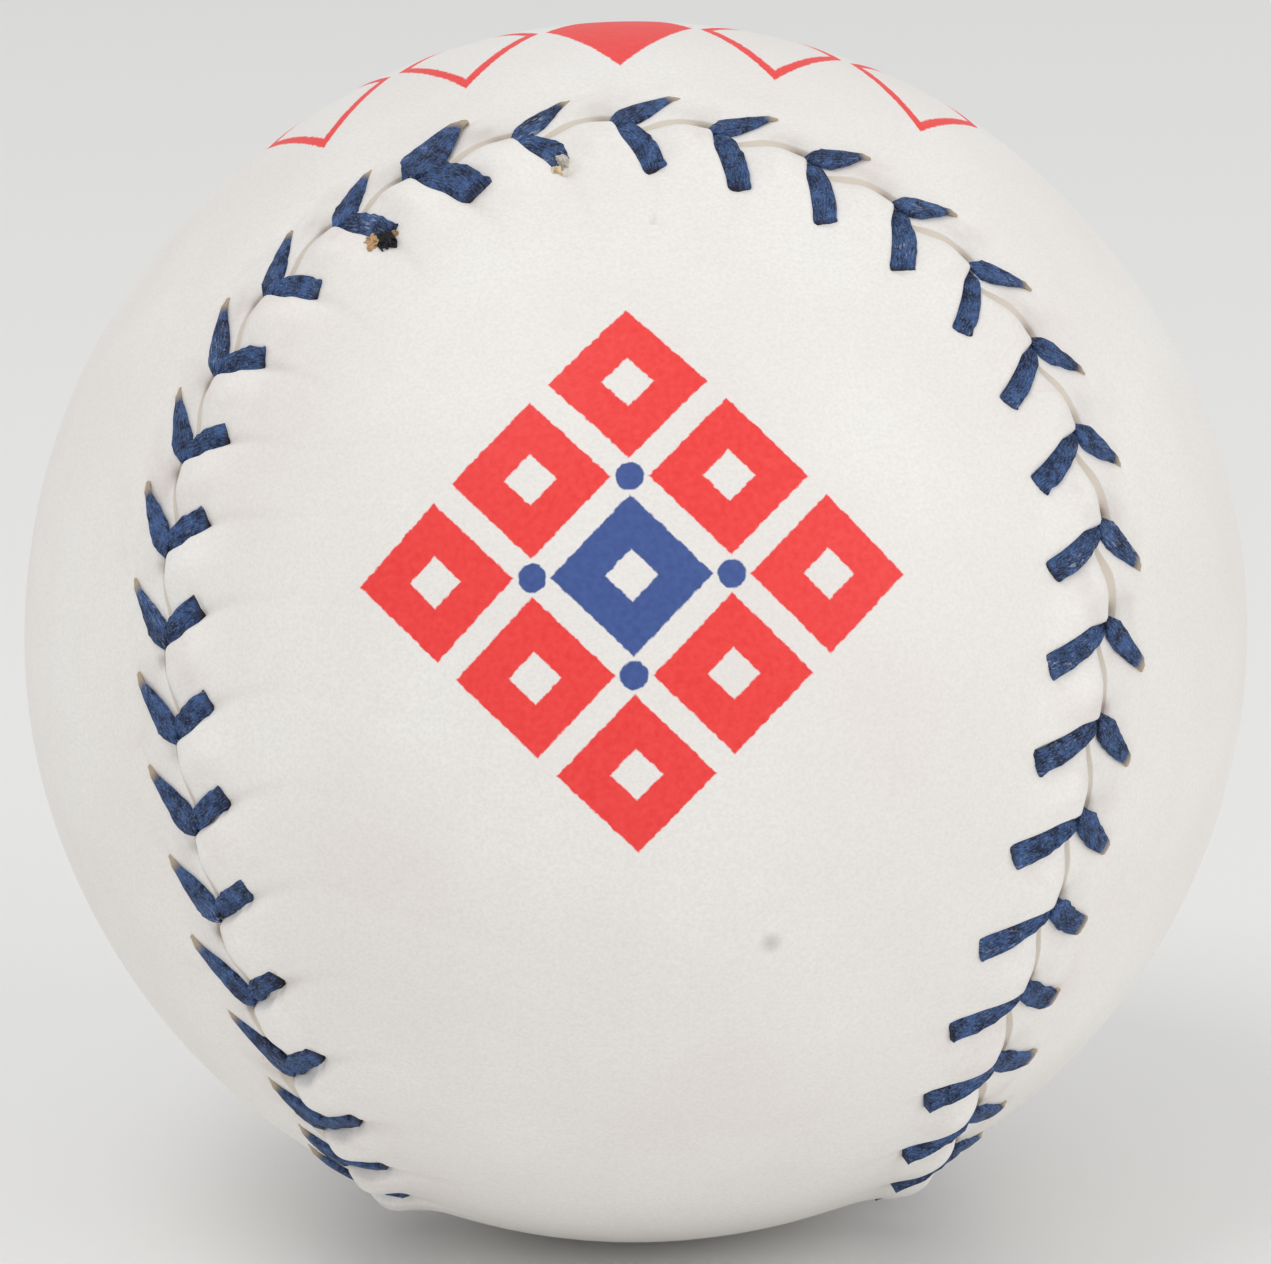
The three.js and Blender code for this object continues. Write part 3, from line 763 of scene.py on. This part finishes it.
def add_attribute(piece, name, kind, values):
    attribute = piece.data.attributes.new(name, kind, "POINT")
    field = "vector" if kind == "FLOAT_VECTOR" else "value"
    attribute.data.foreach_set(field, np.asarray(values, dtype=np.float32).ravel())


# Materials

def linear(hex_colour):
    """A linear colour from an sRGB hex value."""
    shares = [int(hex_colour[i:i + 2], 16) / 255 for i in (1, 3, 5)]
    return [s / 12.92 if s <= 0.04045 else ((s + 0.055) / 1.055) ** 2.4 for s in shares] + [1.0]


def new_material(name):
    """A bare material, and the function that adds its nodes."""
    material = bpy.data.materials.new(name)
    material.use_nodes = True
    tree = material.node_tree
    tree.nodes.clear()

    def add(kind, inputs=None, **options):
        """Adds a node, sets its options, sets or links its inputs, and returns its outputs."""
        made = tree.nodes.new("ShaderNode" + kind)
        for option, value in options.items():
            setattr(made, option, value)
        for key, value in (inputs or {}).items():
            if isinstance(value, bpy.types.NodeSocket):
                tree.links.new(value, made.inputs[key])
            else:
                made.inputs[key].default_value = value
        return made.outputs

    return material, add


def per_metre(size_mm):
    """A texture scale for a pattern of this size."""
    return 1 / (size_mm * MM)


def inked(add, distance, edge, blur=INK_BLUR):
    """1 where a distance is under an edge, and 0 past it."""
    return add("MapRange", {
        "Value": distance, "From Min": edge + blur, "From Max": edge - blur,
    }, interpolation_type="SMOOTHSTEP")["Result"]


def square_distance(add, flat):
    """The larger of the distances from the two middle lines."""
    x, y, _ = add("SeparateXYZ", {0: add("VectorMath", {0: flat}, operation="ABSOLUTE")[0]})
    return add("Math", {0: x, 1: y}, operation="MAXIMUM")[0]


def repeated(add, flat, pitch):
    """A place in the cell it is in, from the middle of the cell."""
    return add("VectorMath", {0: flat, 1: [pitch / 2] * 3, 2: [-pitch / 2] * 3}, operation="WRAP")[0]


def bled_place(add):
    """The place of the print, so that its edges run a little into the grain."""
    flat = add("Attribute", attribute_name="print_place")["Vector"]
    bleed = add("TexNoise", {"Vector": flat, "Scale": BLEED_SCALE, "Detail": 2.0})["Color"]
    moved = add("VectorMath", {0: bleed, 1: [INK_BLEED] * 3, 2: flat}, operation="MULTIPLY_ADD")[0]
    return add("VectorMath", {0: moved, 1: (1, 1, 0)}, operation="MULTIPLY")[0]


def lattice(add):
    """Red and blue ink of the front print: nine diamonds with bare hearts, the middle one blue, and dots
    where four of them meet."""
    turned = add("VectorRotate", {
        "Vector": bled_place(add), "Angle": math.pi / 4}, rotation_type="Z_AXIS")[0]
    whole = square_distance(add, turned)
    in_cell = square_distance(add, repeated(add, turned, LATTICE_PITCH))
    heart = inked(add, in_cell, DIAMOND_HEART / 2)
    diamond = add("Math", {0: inked(add, in_cell, LATTICE_DIAMOND / 2), 1: heart}, operation="SUBTRACT")[0]
    middle = inked(add, whole, LATTICE_PITCH / 2)
    inside = add("Math", {0: inked(add, whole, 1.5 * LATTICE_PITCH), 1: middle}, operation="SUBTRACT")[0]
    red = add("Math", {0: diamond, 1: inside}, operation="MULTIPLY")[0]

    corners = add("VectorMath", {0: turned, 1: [LATTICE_PITCH / 2] * 3}, operation="ADD")[0]
    level = add("VectorMath", {
        0: repeated(add, corners, LATTICE_PITCH), 1: (1, 1, 0)}, operation="MULTIPLY")[0]
    from_corner = add("VectorMath", {0: level}, operation="LENGTH")["Value"]
    dot = inked(add, from_corner, LATTICE_DOT)
    dots = add("Math", {0: dot, 1: inked(add, whole, LATTICE_PITCH)}, operation="MULTIPLY")[0]
    blue_diamond = add("Math", {0: diamond, 1: middle}, operation="MULTIPLY")[0]
    blue = add("Math", {0: blue_diamond, 1: dots}, operation="MAXIMUM")[0]
    return red, blue


def chain(add):
    """Red ink of the top print: a solid diamond between outlined ones."""
    flat = bled_place(add)
    x, y, _ = add("SeparateXYZ", {0: add("VectorMath", {0: flat}, operation="ABSOLUTE")[0]})
    cell = add("VectorMath", {0: repeated(add, flat, CHAIN_PITCH)}, operation="ABSOLUTE")[0]
    beside = add("SeparateXYZ", {0: cell})["X"]
    width = add("Math", {0: beside, 1: 2 / CHAIN_PITCH}, operation="MULTIPLY")[0]
    height = add("Math", {0: y, 1: 2 / CHAIN_WIDTH}, operation="MULTIPLY")[0]
    span = add("Math", {0: width, 1: height}, operation="ADD")[0]
    full = inked(add, span, CHAIN_LINE[1], CHAIN_BLUR)
    heart = inked(add, span, CHAIN_LINE[0], CHAIN_BLUR)
    bare = add("Math", {0: heart, 1: inked(add, x, CHAIN_PITCH / 2)}, operation="SUBTRACT")[0]
    outlined = add("Math", {0: full, 1: bare}, operation="SUBTRACT", use_clamp=True)[0]
    within = add("Math", {
        0: full, 1: inked(add, x, CHAIN_DIAMONDS * CHAIN_PITCH / 2)}, operation="MULTIPLY")[0]
    return add("Math", {0: outlined, 1: within}, operation="MULTIPLY")[0], None


def tawed_leather(name, ink, smudge=None):
    """Alum-tawed white hide, glazed and drawn over the windings: a satin milk white with a fine grain,
    faint warm clouds, a little soiled by the sewing and darkened with painted shade by the stitches
    and in the draw lines, and a bare tan where its edge is cut. The print is
    thin ink that sits in the grain."""
    material, add = new_material(name)
    spot = add("TexCoord")["Object"]
    sizes = ((11, 4.0), (0.16, 2.0), (2.5, 3.0), (0.3, 2.0), (0.45, 3.0))  # millimetres, and detail
    clouds, pores, blots, fine, grain = (
        add("TexNoise", {"Vector": spot, "Scale": per_metre(size), "Detail": detail})["Fac"]
        for size, detail in sizes)
    shade = add("MapRange", {"Value": clouds, "From Min": 0.35, "From Max": 0.7})["Result"]
    white = add("Mix", {
        "Factor": shade, "A": linear("#f7f5f1"), "B": linear("#f1ece8")}, data_type="RGBA")["Result"]

    specked = add("MapRange", {"Value": pores, "From Min": 0.35, "From Max": 0.7, "To Max": 0.3})["Result"]
    white = add("Mix", {"Factor": specked, "A": white, "B": linear("#d9d3ce")}, data_type="RGBA")["Result"]

    reach = add("Attribute", attribute_name="from_seam")["Fac"]
    near = add("MapRange", {
        "Value": reach, "From Min": 6.0, "From Max": 0.5}, interpolation_type="SMOOTHSTEP")["Result"]
    patchy = add("MapRange", {"Value": blots, "From Min": 0.5, "From Max": 0.8, "To Max": 0.5})["Result"]
    soiled = add("Math", {0: near, 1: patchy}, operation="MULTIPLY")[0]
    hide = add("Mix", {"Factor": soiled, "A": white, "B": linear("#d8c9c2")}, data_type="RGBA")["Result"]

    red, blue = ink(add)
    red_ink = add("Mix", {
        "Factor": fine, "A": linear("#f02828"), "B": linear("#fe504c")}, data_type="RGBA")["Result"]
    colour = add("Mix", {"Factor": red, "A": hide, "B": red_ink}, data_type="RGBA")["Result"]
    if blue is not None:
        blue_ink = add("Mix", {
            "Factor": fine, "A": linear("#31498a"), "B": linear("#4a64a6")}, data_type="RGBA")["Result"]
        colour = add("Mix", {"Factor": blue, "A": colour, "B": blue_ink}, data_type="RGBA")["Result"]

    if smudge is not None:
        flat = add("Attribute", attribute_name="print_place")["Vector"]
        off = add("VectorMath", {0: flat, 1: smudge}, operation="DISTANCE")["Value"]
        dab = inked(add, off, SMUDGE_RADIUS / 2, SMUDGE_RADIUS / 2)
        rubbed = add("Math", {0: dab, 1: SMUDGE_STRENGTH}, operation="MULTIPLY")[0]
        colour = add("Mix", {
            "Factor": rubbed, "A": colour, "B": linear("#8e8e8c")}, data_type="RGBA")["Result"]
    raw = add("Attribute", attribute_name="raw_edge")["Fac"]
    colour = add("Mix", {"Factor": raw, "A": colour, "B": linear("#e2d8ca")}, data_type="RGBA")["Result"]
    # Darker brown by the stitches: the thread's dye, with painted shade at the V's points, behind upper legs
    # and in draw lines
    dye_and_shade = add("Attribute", attribute_name="soil")["Fac"]
    blotched = add("Math", {0: blots, 1: 2.0}, operation="MULTIPLY")[0]
    dye_and_shade_share = add("Math", {0: dye_and_shade, 1: blotched}, operation="MULTIPLY")[0]
    colour = add("Mix", {"Factor": dye_and_shade_share, "A": colour, "B": linear("#7d685b")}, data_type="RGBA")["Result"]
    relief = add("Bump", {"Strength": 0.25, "Distance": 0.05 * MM, "Height": grain})["Normal"]
    shader = add("BsdfPrincipled", {
        "Base Color": colour, "Roughness": 0.5, "IOR": 1.45, "Normal": relief})["BSDF"]
    add("OutputMaterial", {"Surface": shader})
    return material


def waxed_yarn():
    """Flat navy yarn, dyed and waxed: dull, with fine fibres that catch the light as pale flecks,
    and worn down to a tan core where it is drawn into an upper hole; down a lower leg's hole it is
    darkened with painted shade."""
    material, add = new_material("waxed_navy_flat_yarn")
    fibre = add("Attribute", attribute_name="fibre_place")["Vector"]
    # The third value is the tan of wear, and below zero the painted shade down a lower leg's hole
    _, _, tan = add("SeparateXYZ", {"Vector": fibre})
    drawn = add("VectorMath", {0: fibre, 1: FIBRE_STREAKS}, operation="MULTIPLY")["Vector"]
    streak = add("TexNoise", {"Vector": drawn, "Scale": 1.0, "Detail": 4.0, "Roughness": 0.65})["Fac"]
    spot = add("TexCoord")["Object"]
    sizes = ((0.7, 2.0), (0.1, 1.0), (2.4, 1.0))  # millimetres, and detail
    patches, specks, rubs = (
        add("TexNoise", {"Vector": spot, "Scale": per_metre(size), "Detail": detail})["Fac"]
        for size, detail in sizes)
    fine = add("Math", {0: streak, 1: 0.6}, operation="MULTIPLY")[0]
    broad = add("Math", {0: patches, 1: 0.4}, operation="MULTIPLY")[0]
    mixed = add("Math", {0: fine, 1: broad}, operation="ADD")[0]
    share = add("MapRange", {"Value": mixed, "From Min": 0.42, "From Max": 0.60})["Result"]
    navy = add("Mix", {
        "Factor": share, "A": linear("#051534"), "B": linear("#426296")}, data_type="RGBA")["Result"]
    bright = add("MapRange", {
        "Value": specks, "From Min": 0.55, "From Max": 0.85, "To Max": 0.35})["Result"]
    flecked = add("Mix", {"Factor": bright, "A": navy, "B": linear("#a9b3c8")}, data_type="RGBA")["Result"]
    worn_place = add("MapRange", {"Value": rubs, "From Min": 0.55, "From Max": 0.68})["Result"]
    hairs = add("TexNoise", {"Vector": drawn, "Scale": 0.8, "Detail": 1.0, "Distortion": 0.6})["Fac"]
    hair = add("MapRange", {"Value": hairs, "From Min": 0.60, "From Max": 0.68, "To Max": 0.55})["Result"]
    rubbed = add("Math", {0: worn_place, 1: hair}, operation="MULTIPLY")[0]
    flecked = add("Mix", {
        "Factor": rubbed, "A": flecked, "B": linear("#b4bac8")}, data_type="RGBA")["Result"]
    # Upper legs turn tan towards their holes; below zero the yarn takes painted shade, dark brown, in a lower
    # hole
    worn = add("MapRange", {"Value": tan})["Result"]
    dark = add("MapRange", {"Value": tan, "From Max": -1.0})["Result"]
    tipped = add("Mix", {"Factor": worn, "A": flecked, "B": linear("#b9a78e")}, data_type="RGBA")["Result"]
    colour = add("Mix", {"Factor": dark, "A": tipped, "B": linear("#2b221f")}, data_type="RGBA")["Result"]
    relief = add("Bump", {"Strength": 0.6, "Distance": 0.06 * MM, "Height": streak})["Normal"]
    shader = add("BsdfPrincipled", {
        "Base Color": colour, "Roughness": 0.75, "IOR": 1.45, "Normal": relief})["BSDF"]
    add("OutputMaterial", {"Surface": shader})
    return material


def frayed_yarn(name, first, second):
    """The loose ends of a finished-off thread: dry, dull fibres, blotched between two shades."""
    material, add = new_material(name)
    spot = add("TexCoord")["Object"]
    shade = add("Attribute", attribute_name="shade")["Fac"]
    base = add("Mix", {
        "Factor": shade, "A": linear(first), "B": linear(second)}, data_type="RGBA")["Result"]
    blots = add("TexNoise", {"Vector": spot, "Scale": per_metre(0.35), "Detail": 3.0})["Fac"]
    soot = add("MapRange", {"Value": blots, "From Min": 0.55, "From Max": 0.75, "To Max": 0.5})["Result"]
    colour = add("Mix", {"Factor": soot, "A": base, "B": linear("#4a4640")}, data_type="RGBA")["Result"]
    shader = add("BsdfPrincipled", {"Base Color": colour, "Roughness": 0.85})["BSDF"]
    add("OutputMaterial", {"Surface": shader})
    return material


def spun_yarn(name, light, dark, fibre):
    """Undyed spun yarn, wound tight: a soft matt surface, darker between its turns, with short fibres."""
    material, add = new_material(name)
    spot = add("TexCoord")["Object"]
    fluff = add("TexNoise", {"Vector": spot, "Scale": per_metre(fibre), "Detail": 5.0})["Fac"]
    colour = add("Mix", {
        "Factor": fluff, "A": linear(light), "B": linear(dark)}, data_type="RGBA")["Result"]
    relief = add("Bump", {"Strength": 0.7, "Distance": 0.1 * MM, "Height": fluff})["Normal"]
    shader = add("BsdfPrincipled", {
        "Base Color": colour, "Roughness": 0.9, "Sheen Weight": 0.3, "Normal": relief})["BSDF"]
    add("OutputMaterial", {"Surface": shader})
    return material


def moulded_cork():
    """Ground cork pressed in a mould: tan granules of a few shades with darker bark between them."""
    material, add = new_material("moulded_granulated_cork")
    spot = add("TexCoord")["Object"]
    granules = add("TexVoronoi", {"Vector": spot, "Scale": per_metre(1.8)})
    shade = add("SeparateXYZ", {0: granules["Color"]})["X"]
    tan = add("Mix", {
        "Factor": shade, "A": linear("#b98a58"), "B": linear("#8f6238")}, data_type="RGBA")["Result"]
    bark = add("MapRange", {"Value": granules["Distance"], "From Min": 0.55, "From Max": 0.8})["Result"]
    colour = add("Mix", {"Factor": bark, "A": tan, "B": linear("#54361f")}, data_type="RGBA")["Result"]
    shader = add("BsdfPrincipled", {"Base Color": colour, "Roughness": 0.8})["BSDF"]
    add("OutputMaterial", {"Surface": shader})
    return material


# The stage

def studio():
    corners = [(x * FLOOR_REACH, y * FLOOR_REACH, 0) for x, y in ((-1, -1), (1, -1), (1, 1), (-1, 1))]
    floor = mesh_piece("studio_floor", corners, [(0, 1, 2, 3)])
    floor.location.z = -BALL_RADIUS * MM
    material, add = new_material("matt_white_paper")
    shader = add("BsdfPrincipled", {"Base Color": linear("#f4f4f3"), "Roughness": 0.9})["BSDF"]
    add("OutputMaterial", {"Surface": shader})
    floor.data.materials.append(material)

    world = bpy.data.worlds.new("soft_white_room")
    world.use_nodes = True
    background = world.node_tree.nodes["Background"].inputs
    background["Color"].default_value = (1, 1, 1, 1)
    background["Strength"].default_value = ROOM_STRENGTH
    scene.world = world
    scene.view_settings.view_transform = "Standard"

    for name, spot, size, power in LIGHTS:
        light = bpy.data.lights.new(name, "AREA")
        light.size = size
        light.energy = power
        lamp = bpy.data.objects.new(name, light)
        lamp.location = spot
        lamp.rotation_euler = (-Vector(spot)).to_track_quat("-Z", "Y").to_euler()
        scene.collection.objects.link(lamp)


def camera():
    lens = bpy.data.cameras.new("photo_camera")
    lens.lens = CAMERA_LENS
    lens.sensor_width = SENSOR_WIDTH
    view = bpy.data.objects.new("photo_camera", lens)
    rise = math.radians(CAMERA_ELEVATION_DEG)
    back = Vector((0, -math.cos(rise), math.sin(rise)))
    aim = (-back).to_track_quat("-Z", "Y").to_matrix().to_4x4()
    roll = Matrix.Rotation(math.radians(CAMERA_ROLL_DEG), 4, "Z")
    view.matrix_world = Matrix.Translation(back * CAMERA_DISTANCE * MM) @ aim @ roll
    scene.collection.objects.link(view)
    scene.camera = view


def dress(piece, material, node):
    piece.data.materials.append(material)
    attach(piece, "root")
    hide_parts(node)


camera()
studio()
rise = math.radians(PRINT_ELEVATION_DEG)
front = np.array([0, -math.cos(rise), math.sin(rise)])
top = np.array([0.0, 0.0, 1.0])
right = np.array([1.0, 0.0, 0.0])
lower_panel = panel_piece("lower_leather_panel", LOWER, 0, front, right)
upper_panel = panel_piece("upper_leather_panel", UPPER, STITCHES // 4, top, right)
turn, up = np.radians(SMUDGE_PLACE_DEG)
smudge = np.array([[math.sin(turn) * math.cos(up), -math.cos(turn) * math.cos(up), math.sin(up)]])
printed_front = tawed_leather("tawed_leather_lattice_print", lattice, print_place(smudge, front, right)[0])
yarn = waxed_yarn()
dress(lower_panel, printed_front, "lower_cover_panel")
dress(upper_panel, tawed_leather("tawed_leather_chain_print", chain), "upper_cover_panel")
dress(thread_piece("first_navy_thread", LOWER), yarn, "first_sewing_thread")
dress(thread_piece("second_navy_thread", UPPER), yarn, "second_sewing_thread")
pale_end = knot_piece("frayed_starting_end", STARTING_KNOT_STITCH, STARTING_CLUMPS, STARTING_SEED)
dress(pale_end, frayed_yarn("undyed_frayed_yarn", "#cbc6be", "#e4d2ab"), "starting_knot")
singed_end = knot_piece("singed_finishing_end", FINISHING_KNOT_STITCH, FINISHING_CLUMPS, FINISHING_SEED)
dress(singed_end, frayed_yarn("singed_waxed_yarn", "#c8a276", "#16161c"), "finishing_knot")
string = winding_piece("wound_cotton_string", STRING_RADIUS, STRING_INSIDE, STRING_WIDTH, STRING_TURNS)
dress(string, spun_yarn("wound_cotton_string", "#efe8d8", "#cfc4ac", 0.25), "string_winding")
wool = winding_piece("wound_wool_yarn", WOOL_RADIUS, WOOL_INSIDE, WOOL_WIDTH, WOOL_TURNS)
dress(wool, spun_yarn("wound_wool_yarn", "#c9c1b0", "#9d9483", 0.4), "wool_winding")
dress(core_piece("pitted_cork_core"), moulded_cork(), "cork_core")
